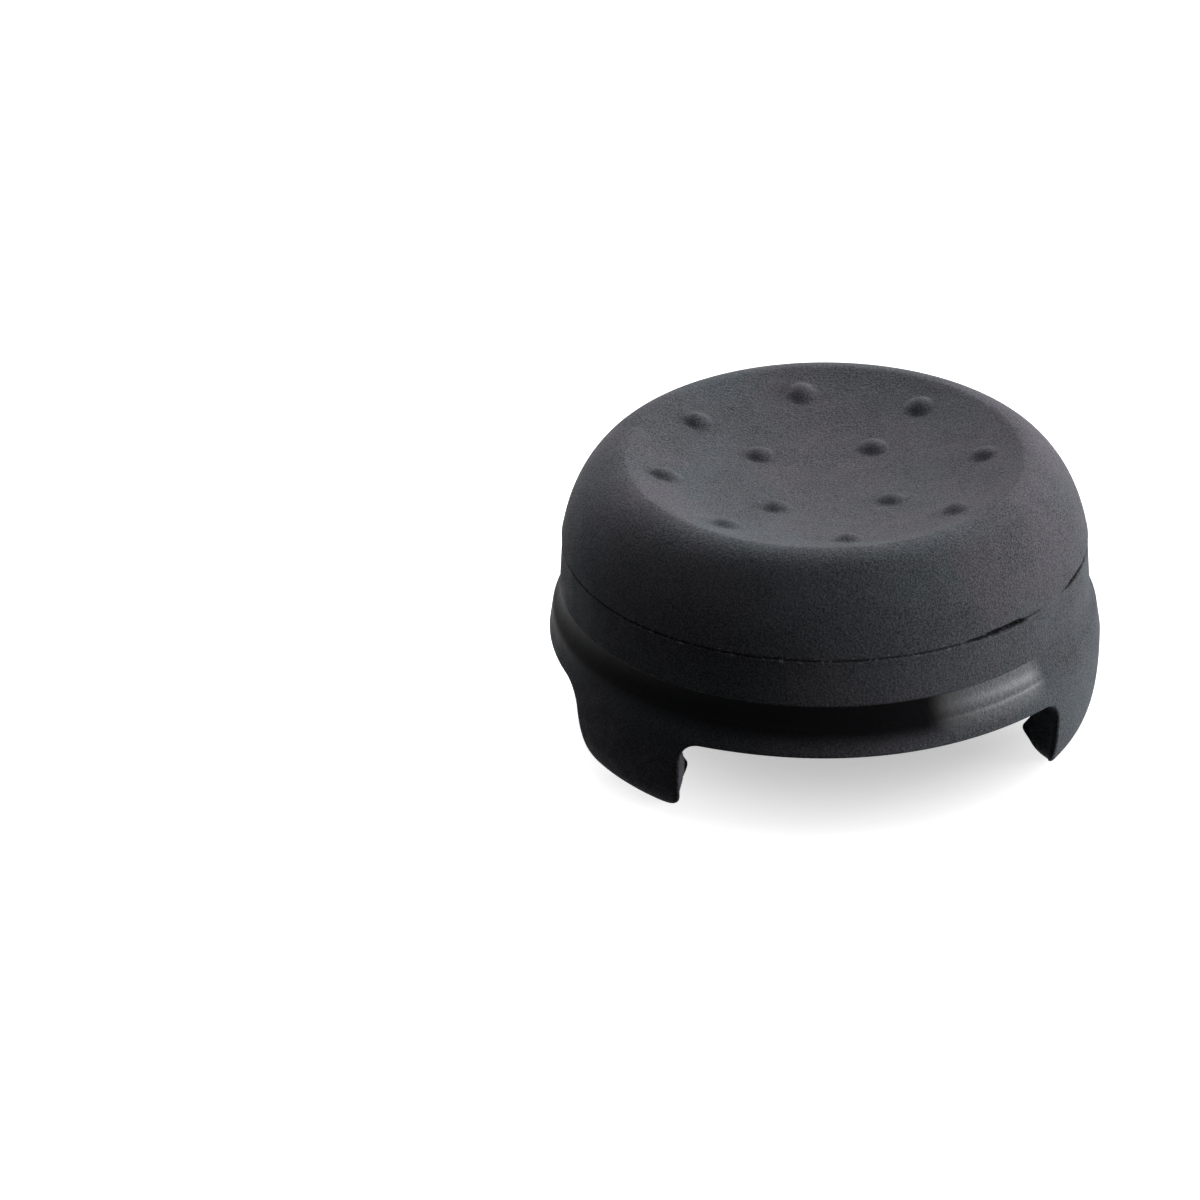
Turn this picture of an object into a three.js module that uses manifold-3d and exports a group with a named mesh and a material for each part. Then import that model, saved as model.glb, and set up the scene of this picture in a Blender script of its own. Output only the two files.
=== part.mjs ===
// Thumb grip for a game controller: one soft moulding that clips over the cap of a thumb stick.
// Millimetres, +Z up. The origin is on the grip's axis, in the plane of its three prong tips.
// Heights are stacked up from that plane and radii outwards from the stick cap.
import * as THREE from "three";
import { mergeVertices } from "three/addons/utils/BufferGeometryUtils.js";
import Module from "manifold-3d";

const wasm = await Module();
wasm.setup();

// The stick cap that the socket takes, and the play round it.
const STICK_CAP_RADIUS = 9.25;
const STICK_CAP_EDGE = 2.85;
const CAP_SIDE_CLEARANCE = 0.25;
const CAP_END_CLEARANCE = 0.1;

// Prongs: a lead-in slope, a nose, then a slope that draws up behind the edge of the cap.
const PRONG_COUNT = 3;
const PRONG_LENGTH = 3.77;
const PRONG_ROOT_WIDTH = 6.15;
const PRONG_TIP_WIDTH = 6.05;
const PRONG_ROOT_FILLET = 1.0;
const PRONG_TIP_CORNER = 1.0;
const GAP_ARCH = 0.12;
const GAP_FLARE = 0.68;
const GAP_STEPS = 8;
const LATCH_REACH = 0.75;
const LATCH_LEAD_IN = 1.15;
const LATCH_NOSE = 0.2;
const LATCH_UNDERCUT = 1.05;
const TIP_FLAT = 0.3;
const TIP_INSET = 1.3;
const TIP_EDGE = 0.12;
const PRONG_BARREL = 1.9;
const PRONG_TUCK_IN = 0.7;

// Skirt, smooth cove, band and parting groove, from the prongs upwards.
const SKIRT_WALL = 1.45;
const SKIRT_HEIGHT = 1.08;
const SKIRT_FLARE = 0.16;
const COVE_HEIGHT = 1.0;
const COVE_DRAFT = 0.3;
const COVE_DEPTH = 0.1;
const COVE_LEDGE = 0.08;
const BAND_HEIGHT = 1.8;
const BAND_FLARE = 0.1;
const GROOVE_WIDTH = 0.2;
const GROOVE_DEPTH = 0.14;

// Domed flank, rolled rim and the dish that the thumb lies in.
const FLANK_HEIGHT = 3.43;
const FLANK_LEAN = THREE.MathUtils.degToRad(9);
const FLANK_HANDLE = 1.97;
const RIM_INSET = 2.57;
const RIM_HANDLE = 1.13;
const DISH_DEPTH = 1.15;
const DISH_HANDLE = 5.23;
const DISH_LIP_HANDLE = 0.31;

// Grip nubs: an outer ring, and an inner ring behind every second one.
const NUB_COUNT = 8;
const NUB_RING_RADIUS = 6.3;
const INNER_RING_RADIUS = 3.18;
const INNER_NUB_STEP = 2;
const NUB_RADIUS = 0.56;
const NUB_HEIGHT = 0.3;
const NUB_FOOT = 0.1;
const NUB_ROOT = 0.35;
const NUB_PATTERN_TURN = THREE.MathUtils.degToRad(-4.5);

// Pad under the middle of the socket, which bears on the hollow top of the stick cap.
const PAD_RADIUS = 4.5;
const PAD_HEIGHT = 0.5;
const PAD_EDGE = 0.35;

const ROUND_SEGMENTS = 72;
const NUB_SEGMENTS = 12;
const WELD_DISTANCE = 0.01;

// Sizes that follow.
const socketRadius = STICK_CAP_RADIUS + CAP_SIDE_CLEARANCE;
const skirtRadius = socketRadius + SKIRT_WALL;
const coveRadius = skirtRadius - SKIRT_FLARE;
const bandFootRadius = coveRadius - COVE_DRAFT;
const bodyRadius = bandFootRadius - BAND_FLARE;
const rimRadius = bodyRadius - RIM_INSET;
const noseRadius = socketRadius - LATCH_REACH;
const tipRadius = skirtRadius - TIP_INSET;

const noseTop = LATCH_LEAD_IN + LATCH_NOSE;
const ledgeHeight = noseTop + LATCH_UNDERCUT;
const seatHeight = ledgeHeight + STICK_CAP_EDGE + CAP_END_CLEARANCE;
const coveFoot = PRONG_LENGTH + SKIRT_HEIGHT;
const bandFoot = coveFoot + COVE_HEIGHT;
const grooveFoot = bandFoot + BAND_HEIGHT;
const grooveTop = grooveFoot + GROOVE_WIDTH;
const rimHeight = grooveTop + FLANK_HEIGHT;
const dishFloor = rimHeight - DISH_DEPTH;

const point = (radius, height) => new THREE.Vector2(radius, height);

// The dish runs level out of its floor and level into the top of the rim.
const dishCurve = new THREE.CubicBezierCurve(
  point(rimRadius, rimHeight),
  point(rimRadius - DISH_LIP_HANDLE, rimHeight),
  point(DISH_HANDLE, dishFloor),
  point(0, dishFloor),
);

const flankCurve = new THREE.CubicBezierCurve(
  point(bodyRadius, grooveTop),
  point(
    bodyRadius - FLANK_HANDLE * Math.sin(FLANK_LEAN),
    grooveTop + FLANK_HANDLE * Math.cos(FLANK_LEAN),
  ),
  point(rimRadius + RIM_HANDLE, rimHeight),
  point(rimRadius, rimHeight),
);

// The outer face of a prong keeps the skirt's radius, then tucks in under to its tip.
const prongCurve = new THREE.CubicBezierCurve(
  point(tipRadius + TIP_FLAT + TIP_EDGE, TIP_EDGE),
  point(skirtRadius - PRONG_TUCK_IN / 4, PRONG_TUCK_IN),
  point(skirtRadius, PRONG_LENGTH - PRONG_BARREL),
  point(skirtRadius, PRONG_LENGTH),
);

const coveCurve = new THREE.QuadraticBezierCurve(
  point(coveRadius, coveFoot),
  point(bandFootRadius - COVE_DEPTH, coveFoot + COVE_HEIGHT / 3),
  point(bandFootRadius - COVE_LEDGE, bandFoot - COVE_LEDGE),
);

// The grip's section, from the middle of the socket round the prong and over the rim to the axis.
function sectionPoints() {
  const padFoot = seatHeight - PAD_HEIGHT;
  return [
    point(0, padFoot),
    point(PAD_RADIUS - PAD_EDGE, padFoot),
    point(PAD_RADIUS, padFoot + PAD_EDGE),
    point(PAD_RADIUS, seatHeight),
    point(socketRadius, seatHeight),
    point(socketRadius, ledgeHeight),
    point(noseRadius, noseTop),
    point(noseRadius, LATCH_LEAD_IN),
    point(tipRadius - TIP_EDGE, TIP_EDGE),
    point(tipRadius, 0),
    point(tipRadius + TIP_FLAT, 0),
    ...prongCurve.getPoints(7),
    ...coveCurve.getPoints(4),
    point(bandFootRadius, bandFoot),
    point(bodyRadius, grooveFoot),
    point(bodyRadius - GROOVE_DEPTH, grooveFoot + GROOVE_WIDTH / 2),
    ...flankCurve.getPoints(9),
    ...dishCurve.getPoints(8).slice(1),
  ];
}

// Merges shared corners, draws edges shorter than the weld distance together, and drops the
// faces that this leaves without area.
function weld(geometry) {
  const merged = mergeVertices(geometry, 1e-5);
  const position = merged.attributes.position;
  const index = Array.from(merged.index.array);
  const kept = Array.from({ length: position.count }, (_, i) => i);
  const find = (i) => {
    let root = i;
    while (kept[root] !== root) {
      root = kept[root];
    }
    return root;
  };
  const start = new THREE.Vector3();
  const end = new THREE.Vector3();
  for (let i = 0; i < index.length; i += 1) {
    const next = i % 3 === 2 ? i - 2 : i + 1;
    start.fromBufferAttribute(position, index[i]);
    end.fromBufferAttribute(position, index[next]);
    if (start.distanceTo(end) < WELD_DISTANCE) {
      kept[find(index[next])] = find(index[i]);
    }
  }
  const faces = [];
  for (let i = 0; i < index.length; i += 3) {
    const [a, b, c] = index.slice(i, i + 3).map(find);
    if (a !== b && b !== c && c !== a) {
      faces.push(a, b, c);
    }
  }
  merged.setIndex(faces);
  return merged;
}

function toSolid(geometry) {
  geometry.deleteAttribute("normal");
  geometry.deleteAttribute("uv");
  const welded = weld(geometry);
  return new wasm.Manifold(new wasm.Mesh({
    numProp: 3,
    vertProperties: welded.attributes.position.array,
    triVerts: new Uint32Array(welded.index.array),
  }));
}

function toGeometry(solid) {
  const mesh = solid.getMesh();
  const geometry = new THREE.BufferGeometry();
  geometry.setAttribute("position", new THREE.BufferAttribute(mesh.vertProperties, 3));
  geometry.setIndex(new THREE.BufferAttribute(mesh.triVerts, 1));
  const welded = weld(geometry);
  welded.computeVertexNormals();
  return welded;
}

function revolve(points, segments) {
  const geometry = new THREE.LatheGeometry(points, segments);
  geometry.rotateX(Math.PI / 2);
  return geometry;
}

// One gap between prongs, drawn as if the skirt were unrolled: arc length across, height up.
// Its sides lean with the prongs' taper and run through a fillet into a roof that arches slightly.
function gapOutline() {
  const halfPitch = Math.PI * skirtRadius / PRONG_COUNT;
  const rootHalf = halfPitch - PRONG_ROOT_WIDTH / 2;
  const tipHalf = halfPitch - PRONG_TIP_WIDTH / 2;
  const shoulder = PRONG_LENGTH - GAP_ARCH;
  const corner = point(rootHalf, shoulder);
  const downSide = point(tipHalf, 0).sub(corner).normalize();
  const cornerAngle = Math.acos(-downSide.x);
  const tangent = PRONG_ROOT_FILLET / Math.tan(cornerAngle / 2);
  const centre = point(rootHalf - tangent, shoulder - PRONG_ROOT_FILLET);
  const sweep = Math.PI - cornerAngle;
  const tip = point(tipHalf, 0);
  const half = [tip.clone().add(point(PRONG_TIP_CORNER, -PRONG_LENGTH))];
  const cornerSteps = 3;
  for (let i = 0; i <= cornerSteps; i += 1) {
    const turn = Math.PI / 2 * i / cornerSteps;
    half.push(tip.clone().add(point(
      PRONG_TIP_CORNER * (1 - Math.sin(turn)),
      PRONG_TIP_CORNER * (1 - Math.cos(turn)),
    )));
  }
  const filletSteps = 6;
  for (let i = 0; i <= filletSteps; i += 1) {
    const turn = Math.PI / 2 - sweep + sweep * i / filletSteps;
    half.push(point(
      centre.x + PRONG_ROOT_FILLET * Math.cos(turn),
      centre.y + PRONG_ROOT_FILLET * Math.sin(turn),
    ));
  }
  const roofSteps = 5;
  for (let i = 1; i < roofSteps; i += 1) {
    const out = 1 - i / roofSteps;
    half.push(point(centre.x * out, PRONG_LENGTH - GAP_ARCH * out ** 4));
  }
  const mirrored = half.map((p) => point(-p.x, p.y)).reverse();
  return [...half, point(0, PRONG_LENGTH), ...mirrored];
}

// The outline is thickened along the radius and rolled up. It widens inwards, by the gap flare,
// so that each prong is narrower at its nose than at the skirt. Its far end is well outside the
// skirt, because its last face is made of long flat triangles.
function gapCutter(bearing) {
  const inner = noseRadius - LATCH_REACH;
  const depth = 2 * skirtRadius - inner;
  const geometry = new THREE.ExtrudeGeometry(new THREE.Shape(gapOutline()), {
    depth,
    steps: GAP_STEPS,
    bevelEnabled: false,
  });
  const position = geometry.attributes.position;
  for (let i = 0; i < position.count; i += 1) {
    const radius = inner + position.getZ(i);
    const rolled = skirtRadius + GAP_FLARE * Math.min(radius - skirtRadius, 0);
    const angle = bearing + position.getX(i) / rolled;
    position.setXYZ(i, radius * Math.cos(angle), radius * Math.sin(angle), position.getY(i));
  }
  return geometry;
}

// Height of the dish at a radius, found on its curve.
function dishHeight(radius) {
  let low = 0;
  let high = 1;
  for (let i = 0; i < 40; i += 1) {
    const middle = (low + high) / 2;
    if (dishCurve.getPoint(middle).x > radius) {
      low = middle;
    } else {
      high = middle;
    }
  }
  return dishCurve.getPoint(low).y;
}

// A blunt dome on a short root that is buried in the dish.
function nub(radius, bearing) {
  const dome = new THREE.CubicBezierCurve(
    point(NUB_RADIUS, 0),
    point(NUB_RADIUS - NUB_FOOT, NUB_HEIGHT * 0.7),
    point(NUB_RADIUS / 2, NUB_HEIGHT),
    point(0, NUB_HEIGHT),
  );
  const section = [
    point(0, -NUB_ROOT),
    point(NUB_RADIUS + NUB_FOOT, -NUB_ROOT),
    point(NUB_RADIUS + NUB_FOOT, -NUB_FOOT / 2),
    ...dome.getPoints(4),
  ];
  const geometry = revolve(section, NUB_SEGMENTS);
  geometry.rotateZ(bearing);
  geometry.translate(
    radius * Math.cos(bearing),
    radius * Math.sin(bearing),
    dishHeight(radius),
  );
  return geometry;
}

let grip = toSolid(revolve(sectionPoints(), ROUND_SEGMENTS));

for (let i = 0; i < PRONG_COUNT; i += 1) {
  const bearing = Math.PI / 2 + (i + 0.5) * 2 * Math.PI / PRONG_COUNT;
  grip = grip.subtract(toSolid(gapCutter(bearing)));
}

for (let i = 0; i < NUB_COUNT; i += 1) {
  const bearing = NUB_PATTERN_TURN + i * 2 * Math.PI / NUB_COUNT;
  grip = grip.add(toSolid(nub(NUB_RING_RADIUS, bearing)));
  if (i % INNER_NUB_STEP === 1) {
    grip = grip.add(toSolid(nub(INNER_RING_RADIUS, bearing)));
  }
}

const rubber = new THREE.MeshStandardMaterial({
  color: 0x3a3b3f,
  roughness: 0.62,
  metalness: 0,
});

const group = new THREE.Group();
const thumbGrip = new THREE.Mesh(toGeometry(grip), rubber);
thumbGrip.name = "thumb_grip";
group.add(thumbGrip);

export default group;
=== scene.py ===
"""A clip-on thumb grip in moulded rubber, standing on its prongs on a pale studio floor."""

import math

import bpy
import numpy as np
from mathutils import Matrix, Vector


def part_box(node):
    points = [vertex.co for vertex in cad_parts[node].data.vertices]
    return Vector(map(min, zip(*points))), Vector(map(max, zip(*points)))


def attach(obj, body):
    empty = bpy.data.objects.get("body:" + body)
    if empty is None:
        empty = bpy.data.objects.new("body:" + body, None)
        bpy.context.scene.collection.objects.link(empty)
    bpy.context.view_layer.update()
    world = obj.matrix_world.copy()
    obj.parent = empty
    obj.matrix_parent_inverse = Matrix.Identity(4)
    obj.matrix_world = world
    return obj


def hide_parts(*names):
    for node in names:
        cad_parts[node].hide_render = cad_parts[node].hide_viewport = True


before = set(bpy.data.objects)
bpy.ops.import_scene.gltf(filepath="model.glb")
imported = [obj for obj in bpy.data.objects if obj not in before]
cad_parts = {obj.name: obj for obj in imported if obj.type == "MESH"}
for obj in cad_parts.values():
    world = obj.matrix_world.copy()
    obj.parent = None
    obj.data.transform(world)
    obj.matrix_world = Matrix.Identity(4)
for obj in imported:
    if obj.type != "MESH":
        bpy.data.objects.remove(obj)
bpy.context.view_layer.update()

bl_info = {
    "name": "Thumb Grip",
    "version": (1, 0, 0),
    "blender": (4, 5, 0),
    "location": "3D View > Sidebar > Thumb Grip",
    "description": "Builds a clip-on thumb grip in moulded rubber, and a studio to show it in",
    "category": "Add Mesh",
}

MM = 0.001

# The grip's widest radius and its height in the frame, in millimetres.
GRIP_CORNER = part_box("thumb_grip")[1]
SKIRT_RADIUS = round(GRIP_CORNER.x / MM, 4)
GRIP_HEIGHT = round(GRIP_CORNER.z / MM, 4)

# Prongs and the gaps between them, in millimetres.
PRONG_COUNT = 3
PRONG_LENGTH = 3.77
PRONG_ROOT_WIDTH = 6.15
PRONG_TIP_WIDTH = 6.05
PRONG_ROOT_FILLET = 1.0
PRONG_TIP_CORNER = 1.0
GAP_ARCH = 0.12
GAP_FLARE = 0.68
TIP_RADIUS = SKIRT_RADIUS - 1.3
TIP_FLAT = 0.3
TIP_EDGE = 0.12
PRONG_BARREL = 1.9
PRONG_TUCK_IN = 0.7

# How far from a prong's middle its flat, its corner and its side reach at the cove's foot.
FLAT_REACH = 1.5
CORNER_REACH = 2.1
SIDE_REACH = 3.1

# Socket: latch noses, the wall round the stick cap, its ceiling and the pad in the middle.
SOCKET_RADIUS = SKIRT_RADIUS - 1.45
NOSE_RADIUS = SOCKET_RADIUS - 0.75
NOSE_FOOT = 1.15
NOSE_TOP = 1.35
LEDGE_HEIGHT = 2.4
SEAT_HEIGHT = 5.35
PAD_RADIUS = 4.5
PAD_HEIGHT = 0.5
PAD_EDGE = 0.35

# Outside, from the cove up to the rim.
COVE_FOOT = 4.85
COVE_RADIUS = SKIRT_RADIUS - 0.16
BAND_FOOT = 5.85
BAND_FOOT_RADIUS = COVE_RADIUS - 0.3
BODY_RADIUS = BAND_FOOT_RADIUS - 0.1
SEAM_HEIGHT = 7.75
FLANK_FOOT = 7.85
FLANK_LEAN = math.radians(9)
FLANK_HANDLE = 1.97
RIM_RADIUS = BODY_RADIUS - 2.57
RIM_HANDLE = 1.13

# The dish and its nubs.
DISH_FLOOR = GRIP_HEIGHT - 1.15
DISH_HANDLE = 5.23
DISH_LIP_HANDLE = 0.31
NUB_COUNT = 8
NUB_PATTERN_TURN = math.radians(-4.5)
NUB_SPREAD = 1.12
NUB_FOOT = 1.3
CALM_RADIUS = 2.4

# Draws the moulding a hair narrower than the solid, so that it stays inside it.
SNUG = 0.9997

# Stretches round the grip: middle, half width and fade past the ends, in degrees.
SLIT_TAIL = (-64.4, 6, 4)
SLIT_MOUTH = (-61.6, 3.4, 3)
FAR_SLIT = (-26, 8, 7)
CLOSED_SEAM = (-45.5, 3.5, 4)
STEPPED_SEAM = (-112.2, 1.5, 1.2)
TORN_SEAM = (-110, 26, 14)
# Where the cove turns grained and rough again and loses its painted shade, on the side that faces
# the light.
DULL_UNSHADED_COVE = (-36, 30, 13)
SHINY_COVE = (-65, 10, 6)

# Heights of the rings that draw the seam, from its middle, in millimetres.
SEAM_RINGS = (-0.24, -0.16, -0.1, -0.065, -0.04, -0.02, 0, 0.02, 0.04, 0.065, 0.1, 0.16)

# The photograph's camera: its tilt, roll and turn, its aim in the frame and where that aim
# lies from the camera, in millimetres.
CAMERA_DOWN = math.radians(28.5)
CAMERA_ROLL = math.radians(-0.92)
CAMERA_TURN = math.radians(-10.7)
CAMERA_AIM = np.array([0, 0, 10.9])
CAMERA_OFFSET = np.array([8.824, -5.374, 255.262])
CAMERA_LENS = 195

# The spot that the lights point at, and the inner and outer radius of the shadow painted into the
# card round the grip, in metres.
LIGHTS_AIM = (0, 0, 0.008)
PAINTED_SHADOW_INNER = 0.004
PAINTED_SHADOW_OUTER = 0.0129

# Sizes of the rubber's grain and patches, in metres.
SPECK_SIZE = 0.00007
GRIT_SIZE = 0.000065
GRAIN_SIZE = 0.00011
FLASH_SIZE = 0.00022
PEBBLE_SIZE = 0.00022
PATCH_SIZE = 0.0008
LUMP_SIZE = 0.0012
CLOUD_SIZE = 0.0026
DRIFT_SIZE = 0.006

# How finely the moulding is drawn.
TIP_STEPS = 8
CORNER_STEPS = 10
SIDE_STEPS = 8
FILLET_STEPS = 10
ROOF_STEPS = 30
EDGE_STEPS = 4
FOOT_STEPS = 6
SKIRT_STEPS = 23
WALL_STEPS = 26


def bezier(corners, steps):
    """Points along a Bezier curve of any degree, as rows of radius and height."""
    corners = np.asarray(corners, float)
    along = np.linspace(0, 1, steps + 1)[:, None]
    degree = len(corners) - 1
    return sum(
        math.comb(degree, i) * (1 - along) ** (degree - i) * along**i * corners[i]
        for i in range(degree + 1)
    )


def soften(corners, cuts):
    """A polyline whose corners are rounded, each by a curve that starts and ends at its cut."""
    corners = [np.asarray(c, float) for c in corners]
    drawn = [corners[0][None]]
    for before, corner, after, cut in zip(corners, corners[1:], corners[2:], cuts):
        back = np.linalg.norm(before - corner)
        ahead = np.linalg.norm(after - corner)
        start = corner + (before - corner) * min(cut / back, 0.5)
        end = corner + (after - corner) * min(cut / ahead, 0.5)
        drawn.append(bezier([start, corner, end], 12))
    drawn.append(corners[-1][None])
    return np.vstack(drawn)


def thin(line, longest, sharpest):
    """Picks points of a fine polyline so that no step is longer or turns more than allowed."""
    fine = [line[0]]
    for a, b in zip(line, line[1:]):
        count = max(1, int(math.ceil(np.linalg.norm(b - a) / 0.01)))
        fine.extend(a + (b - a) * i / count for i in range(1, count + 1))
    fine = np.array(fine)
    step = np.diff(fine, axis=0)
    step = step[np.linalg.norm(step, axis=1) > 1e-9]
    fine = np.vstack([fine[:1], fine[0] + np.cumsum(step, axis=0)])
    length = np.linalg.norm(step, axis=1)
    bearing = np.unwrap(np.arctan2(step[:, 1], step[:, 0]))
    turned = np.concatenate([[0], np.cumsum(np.abs(np.diff(bearing))), [0]])
    turned[-1] = turned[-2]
    walked = np.concatenate([[0], np.cumsum(length)])
    spent = walked / longest + turned / sharpest
    count = max(1, int(math.ceil(spent[-1])))
    wanted = np.linspace(0, spent[-1], count + 1)
    picks = np.unique(np.searchsorted(spent, wanted).clip(0, len(fine) - 1))
    return fine[picks]


def ripple(angle, seed, strength, lowest=2, highest=9):
    """A smooth, endless wave round the grip, the same each time for one seed."""
    dice = np.random.default_rng(seed)
    wave = np.zeros_like(angle)
    for k in range(lowest, highest + 1):
        wave += dice.normal() * np.cos(k * angle + dice.uniform(0, 2 * math.pi)) / k**0.5
    return strength * wave / math.sqrt(highest - lowest + 1)


def arch(angle, centre, half_width, fade):
    """1 within a stretch round the grip, fading to 0 past its ends. Angles in degrees."""
    away = np.abs((np.degrees(angle) - centre + 180) % 360 - 180)
    t = np.clip((half_width + fade - away) / fade, 0, 1)
    return t * t * (3 - 2 * t)


def skirt_line():
    """Lower edge of the skirt over one prong: half of it, from the prong's middle to the gap's.

    Returns distance round the skirt, height, direction into the rubber, and the distance at
    which each column meets the foot of the cove."""
    half_pitch = math.pi * SKIRT_RADIUS / PRONG_COUNT
    tip = PRONG_TIP_WIDTH / 2
    root = PRONG_ROOT_WIDTH / 2
    shoulder = PRONG_LENGTH - GAP_ARCH
    lean = math.atan2(root - tip, shoulder)
    reach = PRONG_ROOT_FILLET / math.tan((math.pi / 2 + lean) / 2)
    hub = np.array([root + reach, shoulder - PRONG_ROOT_FILLET])
    rows = []
    for i in range(TIP_STEPS):
        t = i / TIP_STEPS
        rows.append((t * (tip - PRONG_TIP_CORNER), 0, 0, 1, t * FLAT_REACH))
    for i in range(CORNER_STEPS):
        t = i / CORNER_STEPS
        turn = t * math.pi / 2
        x = tip - PRONG_TIP_CORNER * (1 - math.sin(turn))
        h = PRONG_TIP_CORNER * (1 - math.cos(turn))
        meets = FLAT_REACH + t * (CORNER_REACH - FLAT_REACH)
        rows.append((x, h, -math.sin(turn), math.cos(turn), meets))
    start = np.array([tip, PRONG_TIP_CORNER])
    end = hub + PRONG_ROOT_FILLET * np.array([-math.cos(lean), math.sin(lean)])
    for i in range(SIDE_STEPS):
        t = i / SIDE_STEPS
        x, h = start + (end - start) * t
        meets = CORNER_REACH + t * (SIDE_REACH - CORNER_REACH)
        rows.append((x, h, -math.cos(lean), math.sin(lean), meets))
    for i in range(FILLET_STEPS):
        t = i / FILLET_STEPS
        turn = lean + (math.pi / 2 - lean) * t
        n = np.array([-math.cos(turn), math.sin(turn)])
        x, h = hub + PRONG_ROOT_FILLET * n
        rows.append((x, h, n[0], n[1], SIDE_REACH + t * (hub[0] - SIDE_REACH)))
    for i in range(ROOF_STEPS + 1):
        t = i / ROOF_STEPS
        x = hub[0] + (half_pitch - hub[0]) * (0.55 * t + 0.45 * t * t)
        out = (half_pitch - x) / (half_pitch - hub[0])
        rows.append((x, PRONG_LENGTH - GAP_ARCH * out**4, 0, 1, x))
    return np.array(rows)


def skirt_edge():
    """The whole lower edge, one column each: the middle of its prong, distance from there,
    height, direction into the rubber, and the angle at which it meets the foot of the cove."""
    half = skirt_line()
    mirrored = half[1:-1][::-1] * np.array([-1, 1, -1, 1, -1])
    one = np.vstack([mirrored, half])
    columns = []
    for i in range(PRONG_COUNT):
        middle = math.pi / 2 + i * 2 * math.pi / PRONG_COUNT
        target = middle + one[:, 4:] / SKIRT_RADIUS
        columns.append(np.hstack([np.full((len(one), 1), middle), one[:, :4], target]))
    return np.vstack(columns).T


def turn_at(middle, along, radius):
    """Angle of a place on the lower edge. The gaps widen inwards, so that each prong is
    narrower at its nose than at the skirt, and the flat of its tip shrinks with it."""
    half_pitch = math.pi * SKIRT_RADIUS / PRONG_COUNT
    flat = PRONG_TIP_WIDTH / 2 - PRONG_TIP_CORNER
    rolled = SKIRT_RADIUS + GAP_FLARE * np.minimum(radius - SKIRT_RADIUS, 0)
    away = np.maximum(np.abs(along), flat)
    turn = math.pi / PRONG_COUNT - (half_pitch - away) / rolled
    return middle + np.clip(along / flat, -1, 1) * turn


def outer_face():
    """The skirt's outside, from the prong tips to the cove's foot, and the cove to the seam."""
    prong = bezier(
        [
            (TIP_RADIUS + TIP_FLAT + TIP_EDGE, TIP_EDGE),
            (SKIRT_RADIUS - PRONG_TUCK_IN / 4, PRONG_TUCK_IN),
            (SKIRT_RADIUS, PRONG_LENGTH - PRONG_BARREL),
            (SKIRT_RADIUS, PRONG_LENGTH),
        ],
        60,
    )
    hollow = bezier(
        [
            (COVE_RADIUS, COVE_FOOT),
            (BAND_FOOT_RADIUS - 0.1, COVE_FOOT + 0.333),
            (BAND_FOOT_RADIUS - 0.08, BAND_FOOT - 0.08),
        ],
        40,
    )
    shoulder = soften([(SKIRT_RADIUS, PRONG_LENGTH), hollow[0], hollow[8]], [0.16])
    band = soften(
        [hollow[-3], hollow[-1], (BAND_FOOT_RADIUS, BAND_FOOT), (BODY_RADIUS, SEAM_HEIGHT - 0.3)],
        [0.03, 0.05],
    )
    tip = np.array([[TIP_RADIUS + TIP_FLAT, 0.0]])
    return np.vstack([tip, prong, shoulder[1:-1], hollow[8:-3], band])


def inner_face():
    """The inside, from the prong tips past the latch nose to the socket's wall."""
    return soften(
        [
            (TIP_RADIUS, 0),
            (TIP_RADIUS - TIP_EDGE, TIP_EDGE),
            (NOSE_RADIUS, NOSE_FOOT),
            (NOSE_RADIUS, NOSE_TOP),
            (SOCKET_RADIUS, LEDGE_HEIGHT),
            (SOCKET_RADIUS, SEAT_HEIGHT),
        ],
        [0.05, 0.08, 0.08, 0.1],
    )


def nub_places(shape):
    """Where the nubs stand, as rows of x, y, height, radius, stretch and its direction."""
    dice = np.random.default_rng(5)
    places = []
    for i in range(NUB_COUNT):
        bearing = NUB_PATTERN_TURN + i * 2 * math.pi / NUB_COUNT
        rings = [shape.nub_ring_radius / MM]
        if i % 2 == 1:
            rings.append(shape.inner_ring_radius / MM)
        for ring in rings:
            places.append(
                (
                    ring * math.cos(bearing),
                    ring * math.sin(bearing),
                    shape.nub_height / MM * (1 + 0.06 * dice.normal()),
                    shape.nub_radius / MM * (1 + 0.03 * dice.normal()),
                    0.05 * dice.normal(),
                    dice.uniform(0, math.pi),
                )
            )
    return places


def raise_nubs(points, shape):
    """Lifts the dish into its nubs, each a blunt dome with a soft foot, and tells how much of
    each point is nub."""
    nubbed = np.zeros(len(points))
    for x, y, height, radius, stretch, bearing in nub_places(shape):
        dx, dy = points[:, 0] - x, points[:, 1] - y
        along = (dx * math.cos(bearing) + dy * math.sin(bearing)) * (1 + stretch)
        across = (dy * math.cos(bearing) - dx * math.sin(bearing)) * (1 - stretch)
        away = np.hypot(along, across) / (radius * NUB_SPREAD)
        dome = np.clip(1 - away**2.4, 0, None) ** 1.7
        points[:, 2] += height * dome
        nubbed = np.maximum(nubbed, np.clip(NUB_FOOT - away, 0, 1) ** 0.5 * (away < NUB_FOOT))
    return nubbed


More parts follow.
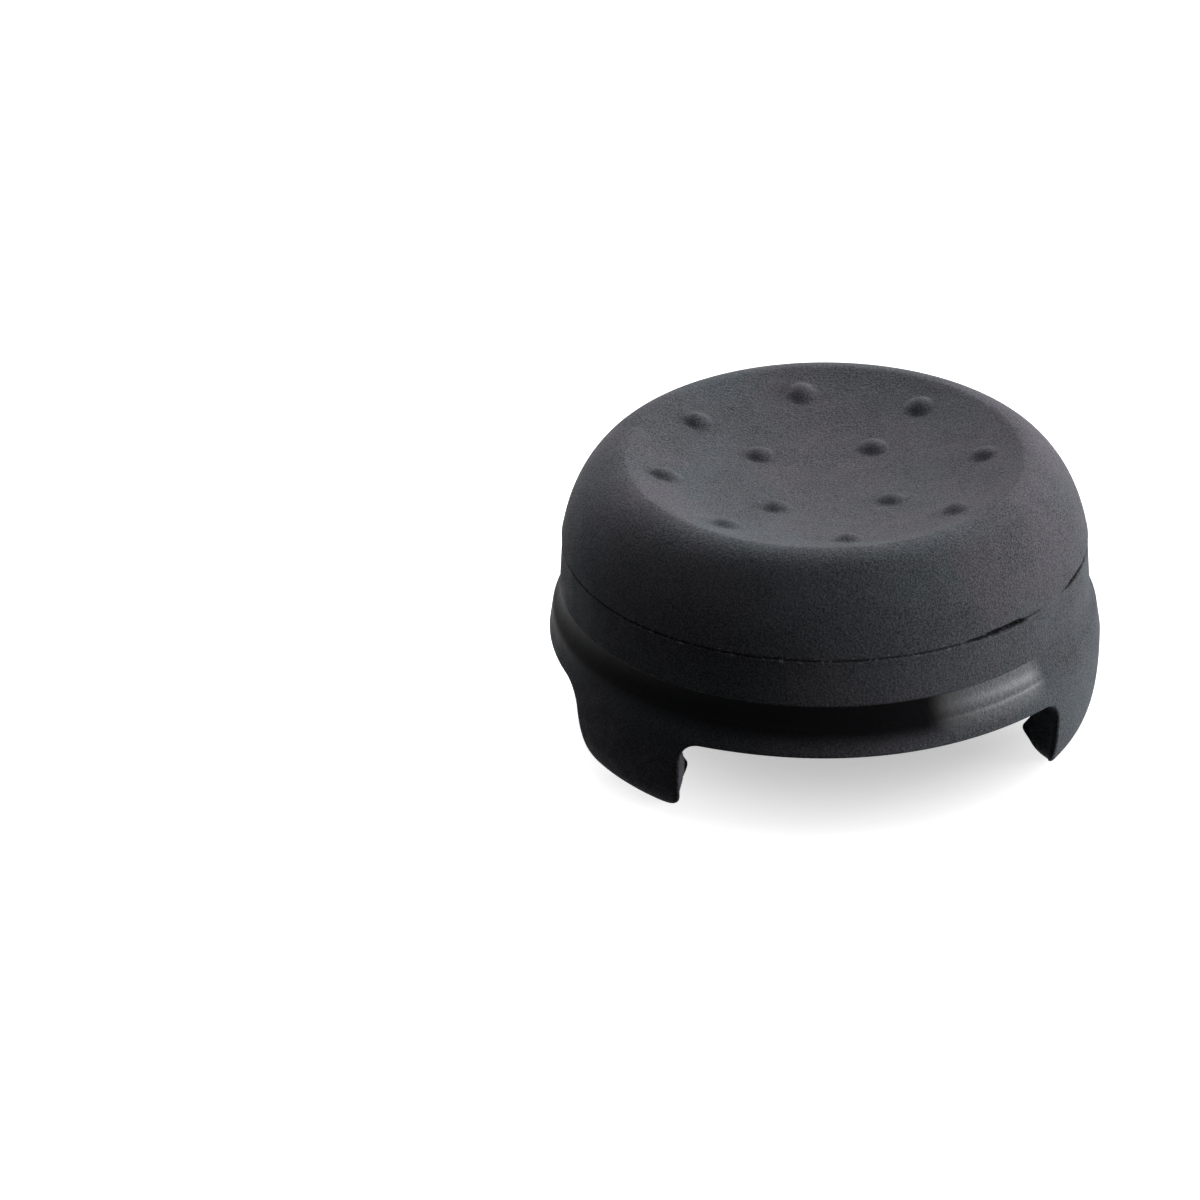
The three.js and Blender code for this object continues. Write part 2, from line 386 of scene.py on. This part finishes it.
def moulding_grid(shape):
    """Rings of points from the socket's pad, down the inside, round the lower edge and up over
    the rim to the middle of the dish, with what each point belongs to."""
    middle, along, height, into_x, into_h, target = skirt_edge()
    count = len(middle)
    even = np.linspace(0, 2 * math.pi, count, endpoint=False) + target.mean() - math.pi
    even += np.mean(target - even)
    edge = shape.edge_softness / MM
    outer, inner = outer_face(), inner_face()

    def outer_radius(h):
        return np.interp(h, outer[:, 1], outer[:, 0])

    def inner_radius(h):
        return np.interp(h, inner[:, 1], inner[:, 0])

    rings, cove, seam, gap = [], [], [], []

    def add(radius, turn, level, smooth=0.0, line=0.0, opened=0.0):
        spread = np.ones(count)
        rings.append(np.stack([
            radius * spread * np.cos(turn), radius * spread * np.sin(turn), level * spread,
        ], 1))
        cove.append(smooth * spread)
        seam.append(line * spread)
        gap.append(opened * spread)

    # Socket: pad, ceiling and wall.
    ceiling = thin(
        soften(
            [
                (0.4, SEAT_HEIGHT - PAD_HEIGHT),
                (PAD_RADIUS - PAD_EDGE, SEAT_HEIGHT - PAD_HEIGHT),
                (PAD_RADIUS, SEAT_HEIGHT - PAD_HEIGHT + PAD_EDGE),
                (PAD_RADIUS, SEAT_HEIGHT),
                (SOCKET_RADIUS, SEAT_HEIGHT),
                (SOCKET_RADIUS, COVE_FOOT),
            ],
            [0.12, 0.12, 0.06, 0.12],
        ),
        1.2,
        0.5,
    )
    for i, (radius, level) in enumerate(ceiling):
        mix = i / (len(ceiling) - 1)
        add(radius, even + (target - even) * mix, level)

    # Skirt: the inside from the wall to the lower edge, the edge itself, then the outside.
    turns = np.linspace(0, math.pi / 2, EDGE_STEPS + 1)
    depth = edge * (1 - np.cos(turns))
    drop = edge * (1 - np.sin(turns))
    inner_edge = 0.5

    def skirt_ring(face_radius, inset, part):
        start_h = height + into_h * inset
        start = turn_at(middle, along + into_x * inset, face_radius(start_h))
        return start + (target - start) * part, start_h + (COVE_FOOT - start_h) * part

    inside = []
    for inset, sunk in zip(depth, drop):
        turn, h = skirt_ring(inner_radius, inset * inner_edge, 0)
        inside.append((inner_radius(h) + sunk * inner_edge, turn, h))
    for part in np.linspace(0, 1, WALL_STEPS + 1)[1:-1]:
        turn, h = skirt_ring(inner_radius, edge * inner_edge, part)
        inside.append((inner_radius(h), turn, h))
    for radius, turn, h in reversed(inside):
        add(radius, turn, h)
    low_inside, low_outside = inner_radius(height) + edge * inner_edge, outer_radius(height) - edge
    for part in np.linspace(0, 1, FOOT_STEPS + 1)[1:-1]:
        radius = low_inside + (low_outside - low_inside) * part
        add(radius, turn_at(middle, along, radius), height)
    for inset, sunk in zip(depth, drop):
        turn, h = skirt_ring(outer_radius, inset, 0)
        add(outer_radius(h) - sunk, turn, h)
    for part in np.linspace(0, 1, SKIRT_STEPS + 1)[1:] ** 1.15:
        turn, h = skirt_ring(outer_radius, edge, part)
        fade = np.clip((h - COVE_FOOT + 0.9) / 0.9, 0, 1)
        add(outer_radius(h), turn, h, fade * fade * (3 - 2 * fade))

    # Cove and band, whose columns ease from the prongs' spacing to an even one.
    rise = thin(outer[outer[:, 1] >= COVE_FOOT], 0.2, 0.16)
    for i, (radius, level) in enumerate(rise[1:]):
        mix = (i + 1) / (len(rise) + 10)
        turn = target + (even - target) * mix
        # The cove mask: smoother rubber, whose dark colour is partly painted shade.
        smooth = 1.0 if level < BAND_FOOT - 0.06 else 0.0
        add(radius, turn, level, smooth)
    body_mix = mix

    # Parting seam: its depth, width and height wander round the grip.
    slit = 0.4 * arch(even, *SLIT_TAIL) + arch(even, *SLIT_MOUTH)
    slit += 1.1 * arch(even, *FAR_SLIT)
    still_open = 1 - 0.85 * arch(even, *CLOSED_SEAM)
    uneven = 0.75 + ripple(even, 11, 0.3, 3, 40).clip(-0.4, 0.5)
    open_by = uneven * still_open + 1.3 * slit
    wide_by = 0.9 + 1.4 * slit
    wander = ripple(even, 12, 0.012, 2, 14) + 0.03 * arch(even, *STEPPED_SEAM)
    torn = 0.2 + 0.8 * arch(even, *TORN_SEAM)
    deep, half = shape.seam_depth / MM, shape.seam_width / MM / 2
    for offset in SEAM_RINGS:
        body_mix = body_mix + (1 - body_mix) * 0.12
        turn = target + (even - target) * body_mix
        ease = 1 - abs(offset) / 0.3
        notch = np.clip(1 - np.abs(offset) / (half * wide_by), 0, 1) ** 0.8
        level = SEAM_HEIGHT + offset + wander * ease
        radius = BODY_RADIUS - deep * open_by * notch
        # How dark the open slit is painted: painted shade inside the seam's crease.
        dark = np.clip(3 * notch, 0, 1) * np.clip(0.7 * open_by, 0, 1)
        add(radius, turn, level, 0.0, torn * (abs(offset) < 0.11), dark)

    # Flank, rim and dish.
    dome = bezier(
        [
            (BODY_RADIUS, FLANK_FOOT),
            (
                BODY_RADIUS - FLANK_HANDLE * math.sin(FLANK_LEAN),
                FLANK_FOOT + FLANK_HANDLE * math.cos(FLANK_LEAN),
            ),
            (RIM_RADIUS + RIM_HANDLE, GRIP_HEIGHT),
            (RIM_RADIUS, GRIP_HEIGHT),
        ],
        200,
    )
    flank = thin(dome, 0.16, 0.1)[1:]
    for i, (radius, level) in enumerate(flank):
        mix = body_mix + (1 - body_mix) * (i + 1) / len(flank)
        add(radius, target + (even - target) * mix, level)
    dish = bezier(
        [
            (RIM_RADIUS, GRIP_HEIGHT),
            (RIM_RADIUS - DISH_LIP_HANDLE, GRIP_HEIGHT),
            (DISH_HANDLE, DISH_FLOOR),
            (0, DISH_FLOOR),
        ],
        400,
    )
    fine = thin(dish[dish[:, 0] > CALM_RADIUS], 0.1, 0.6)[1:]
    coarse = thin(dish[dish[:, 0] <= CALM_RADIUS], 0.2, 0.6)[1:]
    for radius, level in np.vstack([fine, coarse[coarse[:, 0] > 0.15]]):
        add(radius, even, level)
    return np.array(rings), {"cove": cove, "seam": seam, "gap": gap}


def build_moulding(shape):
    """The grip as one closed mesh in metres."""
    rings, painted = moulding_grid(shape)
    rows, count = rings.shape[:2]
    points = rings.reshape(-1, 3)
    pad = np.array([[0, 0, SEAT_HEIGHT - PAD_HEIGHT]])
    floor = np.array([[0, 0, DISH_FLOOR]])
    points = np.vstack([points, pad, floor])
    top = np.zeros(len(points), bool)
    radius = np.hypot(points[:, 0], points[:, 1])
    top[:-2] = (points[:-2, 2] > DISH_FLOOR - 0.05) & (radius[:-2] < RIM_RADIUS)
    nubbed = np.zeros(len(points))
    lifted = points[top]
    nubbed[top] = raise_nubs(lifted, shape)
    points[top] = lifted
    points[:, :2] *= SNUG
    points[:, 2] = points[:, 2].clip(0, GRIP_HEIGHT)

    k = np.arange(rows - 1)[:, None] * count
    j = np.arange(count)[None]
    after = (j + 1) % count
    quads = np.stack([k + j, k + after, k + count + after, k + count + j], -1).reshape(-1, 4)
    ring = np.arange(count)
    on = (ring + 1) % count
    under = np.stack([np.full(count, rows * count), on, ring], 1)
    last = (rows - 1) * count
    over = np.stack([last + ring, last + on, np.full(count, rows * count + 1)], 1)

    mesh = bpy.data.meshes.new("grip_moulding")
    mesh.from_pydata((points * MM).tolist(), [], quads.tolist() + under.tolist() + over.tolist())
    mesh.validate()
    mesh.polygons.foreach_set("use_smooth", np.ones(len(mesh.polygons), bool))
    turn = np.arctan2(points[:, 1], points[:, 0])
    cove = np.append(np.ravel(painted["cove"]), [0, 0])
    # The cove's dark colour, partly smooth black rubber and partly painted shade, fades out
    # together with its smoothness on the lit stretch.
    painted["cove"] = cove * (1 - 0.85 * arch(turn, *DULL_UNSHADED_COVE))
    painted["shine"] = cove * arch(turn, *SHINY_COVE)
    painted["nub"] = nubbed
    for name, value in painted.items():
        value = np.ravel(value)
        layer = mesh.attributes.new(name, "FLOAT", "POINT")
        layer.data.foreach_set("value", np.append(value, np.zeros(len(points) - len(value))))
    mesh.update()
    return mesh


class Finish:
    """Lays out the nodes of one material."""

    def __init__(self, name):
        self.material = bpy.data.materials.new(name)
        self.material.use_nodes = True
        self.tree = self.material.node_tree
        self.tree.nodes.clear()

    def node(self, kind, settings=None, **sockets):
        made = self.tree.nodes.new(kind)
        for name, value in (settings or {}).items():
            setattr(made, name, value)
        for name, value in sockets.items():
            self.put(made.inputs[name.replace("_", " ")], value)
        return made

    def put(self, socket, value):
        if isinstance(value, bpy.types.NodeSocket):
            self.tree.links.new(value, socket)
        else:
            socket.default_value = value

    def noise(self, place, size, detail=2.0, roughness=0.5):
        """Noise with features of about this size, in metres."""
        return self.node(
            "ShaderNodeTexNoise",
            Vector=place, Scale=1 / size, Detail=detail, Roughness=roughness,
        ).outputs["Fac"]

    def ramp(self, value, low, high, to_low=0.0, to_high=1.0):
        made = self.node(
            "ShaderNodeMapRange", {"interpolation_type": "SMOOTHSTEP"},
            Value=value, From_Min=low, From_Max=high, To_Min=to_low, To_Max=to_high,
        )
        return made.outputs["Result"]

    def times(self, a, b):
        made = self.node("ShaderNodeMath", {"operation": "MULTIPLY"})
        self.put(made.inputs[0], a)
        self.put(made.inputs[1], b)
        return made.outputs[0]

    def blend(self, mix, a, b):
        made = self.node("ShaderNodeMix", {"data_type": "RGBA"})
        self.put(made.inputs[0], mix)
        self.put(made.inputs[6], a)
        self.put(made.inputs[7], b)
        return made.outputs[2]

    def between(self, mix, a, b):
        made = self.node("ShaderNodeMix", {"data_type": "FLOAT"})
        self.put(made.inputs[0], mix)
        self.put(made.inputs[2], a)
        self.put(made.inputs[3], b)
        return made.outputs[0]

    def attribute(self, name):
        return self.node("ShaderNodeAttribute", {"attribute_name": name}).outputs["Fac"]

    def bump(self, height, depth, strength=1.0, normal=None):
        made = self.node("ShaderNodeBump", Height=height, Distance=depth, Strength=strength)
        if normal is not None:
            self.put(made.inputs["Normal"], normal)
        return made.outputs["Normal"]


def rubber_finish(rubber):
    """Charcoal rubber: a fine blasted grain with specks, and a smoother, darker cove that is
    polished in one place. The cove's darkness is partly its smooth black rubber and partly painted
    shade, which fades out where the cove faces the light at the right; the seam's open slit and
    the nubs are darkened with painted shade too."""
    f = Finish("moulded_rubber")
    place = f.node("ShaderNodeTexCoord").outputs["Object"]
    cove, seam, nub = f.attribute("cove"), f.attribute("seam"), f.attribute("nub")
    gap, shine = f.attribute("gap"), f.attribute("shine")

    drift = f.ramp(f.noise(place, DRIFT_SIZE, 3), 0.42, 0.6)
    colour = f.blend(drift, (*rubber.warm_colour, 1), (*rubber.cool_colour, 1))
    cloud = f.ramp(f.noise(place, CLOUD_SIZE, 5, 0.6), 0.4, 0.62, 0.0, 0.6)
    colour = f.blend(cloud, colour, (*rubber.cloud_and_nub_shade_colour, 1))
    grit = f.ramp(f.noise(place, GRIT_SIZE, 2, 0.7), 0.34, 0.66, 0.0, rubber.grit)
    colour = f.blend(grit, colour, (*rubber.dust_colour, 1))
    speck = f.ramp(f.noise(place, SPECK_SIZE, 1), 0.62, 0.8, 0.0, 0.5)
    colour = f.blend(speck, colour, (*rubber.speck_colour, 1))
    # The nubs are darkened towards the deep charcoal: painted shade on them.
    colour = f.blend(f.times(nub, 0.15), colour, (*rubber.cloud_and_nub_shade_colour, 1))
    # Cove darkened to near-black: partly its smooth black rubber, partly painted shade in the
    # recess.
    colour = f.blend(f.times(cove, 0.96), colour, (*rubber.smooth_black_and_shade_colour, 1))
    # The seam's open slit darkened the same way: painted shade in the crease.
    colour = f.blend(f.times(gap, 0.9), colour, (*rubber.smooth_black_and_shade_colour, 1))
    flash = f.times(seam, f.ramp(f.noise(place, FLASH_SIZE, 2), 0.55, 0.66))
    colour = f.blend(f.times(flash, 0.7), colour, (*rubber.flash_colour, 1))

    patchy = f.noise(place, PATCH_SIZE, 4)
    dull = f.ramp(patchy, 0.3, 0.7, rubber.roughness - 0.05, rubber.roughness + 0.06)
    rough = f.between(f.times(cove, 0.9), dull, rubber.cove_roughness)

    grain = f.noise(place, GRAIN_SIZE, 2, 0.6)
    lumps = f.noise(place, LUMP_SIZE, 3)
    pebbles = f.noise(place, PEBBLE_SIZE, 2)
    normal = f.bump(lumps, 0.00006, 0.5)
    normal = f.bump(pebbles, 0.00012, shine, normal)
    normal = f.bump(grain, rubber.grain_depth, f.between(cove, 1.0, 0.2), normal)

    shader = f.node(
        "ShaderNodeBsdfPrincipled",
        Base_Color=colour, Roughness=rough, Normal=normal, IOR=1.5,
    )
    shader.inputs["Specular IOR Level"].default_value = 0.02
    shader.inputs["Sheen Weight"].default_value = rubber.bloom
    shader.inputs["Sheen Roughness"].default_value = 0.45
    shader.inputs["Coat Roughness"].default_value = rubber.cove_roughness
    f.put(shader.inputs["Coat Weight"], f.times(shine, rubber.shine))
    f.node("ShaderNodeOutputMaterial", Surface=shader.outputs["BSDF"])
    return f.material


def seen_ray(tree):
    """1 on rays that show the backdrop: from the camera, off a gloss or through clear matter."""
    path = tree.nodes.new("ShaderNodeLightPath").outputs
    shown = path["Is Camera Ray"]
    for name in ("Is Glossy Ray", "Is Transmission Ray"):
        either = tree.nodes.new("ShaderNodeMath")
        either.operation = "MAXIMUM"
        tree.links.new(shown, either.inputs[0])
        tree.links.new(path[name], either.inputs[1])
        shown = either.outputs[0]
    return shown


def floor_finish(studio):
    """White card that keeps the grip's shadow, with a painted shadow round its foot where the
    card's lift to white is dimmed, and throws little of its light back up.
    """
    f = Finish("studio_card")
    bounce = f.node("ShaderNodeBsdfDiffuse", Color=(*studio.bounce_colour, 1)).outputs["BSDF"]
    card = f.node("ShaderNodeBsdfDiffuse", Color=(*studio.floor_colour, 1)).outputs["BSDF"]
    place = f.node("ShaderNodeTexCoord").outputs["Object"]
    away = f.node("ShaderNodeVectorMath", {"operation": "LENGTH"}, Vector=place).outputs["Value"]
    # Dims the card's lift to white near the grip: a painted shadow that eases out to the full
    # lift.
    lift_with_painted_shadow = f.ramp(away, PAINTED_SHADOW_INNER, PAINTED_SHADOW_OUTER, studio.floor_painted_shadow, studio.floor_lift)
    lift = f.node("ShaderNodeEmission", Color=(1, 1, 1, 1), Strength=lift_with_painted_shadow)
    lit = f.node("ShaderNodeAddShader")
    f.put(lit.inputs[0], card)
    f.put(lit.inputs[1], lift.outputs["Emission"])
    mixed = f.node("ShaderNodeMixShader")
    f.put(mixed.inputs[0], seen_ray(f.tree))
    f.put(mixed.inputs[1], bounce)
    f.put(mixed.inputs[2], lit.outputs[0])
    f.node("ShaderNodeOutputMaterial", Surface=mixed.outputs[0])
    return f.material


def set_world(studio):
    """Dim even room light, which the camera sees as the white backdrop."""
    world = bpy.data.worlds.new("studio_room")
    world.use_nodes = True
    bpy.context.scene.world = world
    tree = world.node_tree
    tree.nodes.clear()
    room = tree.nodes.new("ShaderNodeBackground")
    room.inputs["Color"].default_value = (*studio.room_colour, 1)
    room.inputs["Strength"].default_value = studio.room_strength
    white = tree.nodes.new("ShaderNodeBackground")
    white.inputs["Color"].default_value = (1, 1, 1, 1)
    white.inputs["Strength"].default_value = 1
    mixed = tree.nodes.new("ShaderNodeMixShader")
    tree.links.new(seen_ray(tree), mixed.inputs[0])
    tree.links.new(room.outputs[0], mixed.inputs[1])
    tree.links.new(white.outputs[0], mixed.inputs[2])
    out = tree.nodes.new("ShaderNodeOutputWorld")
    tree.links.new(mixed.outputs[0], out.inputs["Surface"])


def softbox(name, place, aim, width, height, power):
    """A rectangular area light that points at a spot on the grip."""
    data = bpy.data.lights.new(name, "AREA")
    data.shape = "RECTANGLE"
    data.size, data.size_y = width, height
    data.energy = power
    lamp = bpy.data.objects.new(name, data)
    bpy.context.scene.collection.objects.link(lamp)
    lamp.location = place
    lamp.rotation_euler = (Vector(aim) - Vector(place)).to_track_quat("-Z", "Y").to_euler()


def around(bearing, distance, height):
    """A place round the grip: bearing in degrees to the right of the camera's side."""
    turn = CAMERA_TURN + math.radians(bearing - 90)
    return (distance * math.cos(turn), distance * math.sin(turn), height)


def place_camera():
    """The photograph's view, looking down at the dish through a long lens."""
    down, roll, turn = CAMERA_DOWN, CAMERA_ROLL, CAMERA_TURN
    tip = np.array([
        [1, 0, 0],
        [0, -math.sin(down), -math.cos(down)],
        [0, math.cos(down), -math.sin(down)],
    ])
    c, s = math.cos(roll), math.sin(roll)
    to_camera = np.array([[c, -s, 0], [s, c, 0], [0, 0, 1]]) @ tip
    c, s = math.cos(turn), math.sin(turn)
    spin = np.array([[c, -s, 0], [s, c, 0], [0, 0, 1]])
    place = spin @ (-to_camera.T @ CAMERA_OFFSET + CAMERA_AIM)
    right = spin @ to_camera.T @ np.array([1, 0, 0])
    up = spin @ to_camera.T @ np.array([0, -1, 0])
    back = spin @ to_camera.T @ np.array([0, 0, -1])
    data = bpy.data.cameras.new("photo_view")
    data.sensor_width = 36
    data.lens = CAMERA_LENS
    data.clip_start = 0.01
    data.clip_end = 10
    camera = bpy.data.objects.new("photo_view", data)
    bpy.context.scene.collection.objects.link(camera)
    pose = Matrix.Identity(4)
    for i in range(3):
        pose[i][0], pose[i][1], pose[i][2], pose[i][3] = right[i], up[i], back[i], place[i] * MM
    camera.matrix_world = pose
    bpy.context.scene.camera = camera


def length(label, told, size):
    """A length property, in metres."""
    return bpy.props.FloatProperty(
        name=label, description=told, default=size, min=0.0, unit="LENGTH", precision=6,
    )


def tint(label, told, colour):
    return bpy.props.FloatVectorProperty(
        name=label, description=told, default=colour, size=3, min=0.0, max=1.0, subtype="COLOR",
    )


def share(label, told, value, most=1.0):
    return bpy.props.FloatProperty(
        name=label, description=told, default=value, min=0.0, max=most, subtype="FACTOR",
    )


def watts(label, told, value):
    return bpy.props.FloatProperty(
        name=label, description=told, default=value, min=0.0, unit="POWER", precision=3,
    )


class GripShape(bpy.types.PropertyGroup):
    nub_height: length("Nub height", "How far each nub stands above the dish", 0.00026)
    nub_radius: length("Nub radius", "Radius of each nub at its foot", 0.00056)
    nub_ring_radius: length("Outer ring", "Radius of the outer ring of nubs", 0.0063)
    inner_ring_radius: length("Inner ring", "Radius of the inner ring of nubs", 0.00318)
    seam_depth: length("Seam depth", "Depth of the parting seam", 0.00012)
    seam_width: length("Seam width", "Width of the parting seam", 0.00011)
    edge_softness: length("Edge softness", "Rounding of the skirt's lower edge", 0.00011)


class GripRubber(bpy.types.PropertyGroup):
    warm_colour: tint("Warm charcoal", "Rubber where it leans to purple", (0.07, 0.062, 0.074))
    cool_colour: tint("Cool charcoal", "Rubber where it leans to teal", (0.052, 0.068, 0.075))
    # Also used for the painted shade that darkens the nubs.
    cloud_and_nub_shade_colour: tint("Deep charcoal", "Cloudy darker patches", (0.034, 0.036, 0.041))
    dust_colour: tint("Dust", "Pale fine grit of the blasted grain", (0.2, 0.2, 0.222))
    speck_colour: tint("Specks", "Bright points of the grain", (0.2, 0.2, 0.222))
    # Near-black of the smooth cove rubber, deepened with painted shade; also the painted shade in
    # the seam's slit.
    smooth_black_and_shade_colour: tint("Cove", "Smooth rubber in the cove", (0.002, 0.002, 0.0025))
    flash_colour: tint("Flash", "Torn flash along the seam", (0.32, 0.33, 0.33))
    roughness: share("Roughness", "Dullness of the grained rubber", 0.7)
    cove_roughness: share("Cove roughness", "Dullness of the smooth cove", 0.46)
    grain_depth: length("Grain depth", "Depth of the fine blasted grain", 0.00003)
    shine: share("Shine", "How strongly the polished part of the cove mirrors", 0.8)
    grit: share("Grit", "How strongly the fine grit shows", 0.6)
    bloom: share("Bloom", "Pale bloom at grazing angles", 0.03)


class GripStudio(bpy.types.PropertyGroup):
    floor_colour: tint("Floor", "Colour of the studio card", (0.8, 0.8, 0.8))
    bounce_colour: tint("Bounce", "Light that the card throws back up", (0.045, 0.045, 0.045))
    floor_lift: share("Floor lift", "How far the card is lifted to white", 0.95, 2.0)
    # The lift that is left under the grip: a painted shadow there.
    floor_painted_shadow: share("Floor shade", "What is left of that lift under the grip", 0.44, 2.0)
    room_colour: tint("Room", "Colour of the room's light", (1.0, 1.0, 1.0))
    room_strength: share("Room strength", "Strength of the room's light", 0.012, 5.0)
    overhead_watts: watts("Overhead light", "Power of the softbox overhead", 0.18)
    back_watts: watts("Back light", "Power of the softbox behind the grip", 1.28)
    strip_watts: watts("Right strip", "Power of the low strip that the cove mirrors", 0.8)
    right_watts: watts("Right light", "Power of the softbox behind at the right", 0.4)
    left_watts: watts("Left light", "Power of the softbox behind at the left", 0.12)


class THUMBGRIP_OT_moulding(bpy.types.Operator):
    """Build the grip's rubber moulding in place of its CAD solid"""

    bl_idname = "thumbgrip.moulding"
    bl_label = "Build Moulding"

    def execute(self, context):
        scene = context.scene
        grip = bpy.data.objects.new("grip_moulding", build_moulding(scene.grip_shape))
        if not grip.data.polygons:
            raise RuntimeError("the moulding has no faces")
        scene.collection.objects.link(grip)
        grip.data.materials.append(rubber_finish(scene.grip_rubber))
        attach(grip, "root")
        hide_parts("thumb_grip")
        return {"FINISHED"}


class THUMBGRIP_OT_stage(bpy.types.Operator):
    """Lay the studio floor, hang the lights and set up the photograph's camera"""

    bl_idname = "thumbgrip.stage"
    bl_label = "Set Up Studio"

    def execute(self, context):
        scene = context.scene
        studio = scene.grip_studio
        mesh = bpy.data.meshes.new("studio_floor")
        corners = [(x, y, 0) for x, y in ((-1, -1), (1, -1), (1, 1), (-1, 1))]
        mesh.from_pydata(corners, [], [(0, 1, 2, 3)])
        floor = bpy.data.objects.new("studio_floor", mesh)
        scene.collection.objects.link(floor)
        mesh.materials.append(floor_finish(studio))
        set_world(studio)
        for name, place, width, height, power in (
            ("overhead_softbox", around(0, 0.03, 0.34), 0.2, 0.2, studio.overhead_watts),
            ("back_softbox", around(180, 0.29, 0.225), 0.26, 0.12, studio.back_watts),
            ("right_strip", around(85, 0.3, 0.045), 0.26, 0.08, studio.strip_watts),
            ("right_softbox", around(115, 0.3, 0.07), 0.12, 0.12, studio.right_watts),
            ("left_softbox", around(-142, 0.3, 0.12), 0.12, 0.12, studio.left_watts),
        ):
            softbox(name, place, LIGHTS_AIM, width, height, power)
        place_camera()
        scene.view_settings.view_transform = "Standard"
        if scene.camera is None:
            raise RuntimeError("the studio has no camera")
        return {"FINISHED"}


class THUMBGRIP_PT_panel(bpy.types.Panel):
    bl_label = "Thumb Grip"
    bl_idname = "THUMBGRIP_PT_panel"
    bl_space_type = "VIEW_3D"
    bl_region_type = "UI"
    bl_category = "Thumb Grip"

    def draw(self, context):
        scene = context.scene
        layout = self.layout
        for title, settings, operator in (
            ("Moulding", scene.grip_shape, THUMBGRIP_OT_moulding.bl_idname),
            ("Rubber", scene.grip_rubber, None),
            ("Studio", scene.grip_studio, THUMBGRIP_OT_stage.bl_idname),
        ):
            box = layout.box()
            box.label(text=title)
            for name in settings.__annotations__:
                box.prop(settings, name)
            if operator:
                box.operator(operator)


CLASSES = (
    GripShape,
    GripRubber,
    GripStudio,
    THUMBGRIP_OT_moulding,
    THUMBGRIP_OT_stage,
    THUMBGRIP_PT_panel,
)


def register():
    for one in CLASSES:
        bpy.utils.register_class(one)
    bpy.types.Scene.grip_shape = bpy.props.PointerProperty(type=GripShape)
    bpy.types.Scene.grip_rubber = bpy.props.PointerProperty(type=GripRubber)
    bpy.types.Scene.grip_studio = bpy.props.PointerProperty(type=GripStudio)


def unregister():
    del bpy.types.Scene.grip_studio
    del bpy.types.Scene.grip_rubber
    del bpy.types.Scene.grip_shape
    for one in reversed(CLASSES):
        bpy.utils.unregister_class(one)


def main():
    register()
    bpy.ops.thumbgrip.moulding()
    bpy.ops.thumbgrip.stage()


if __name__ == "__main__":
    main()
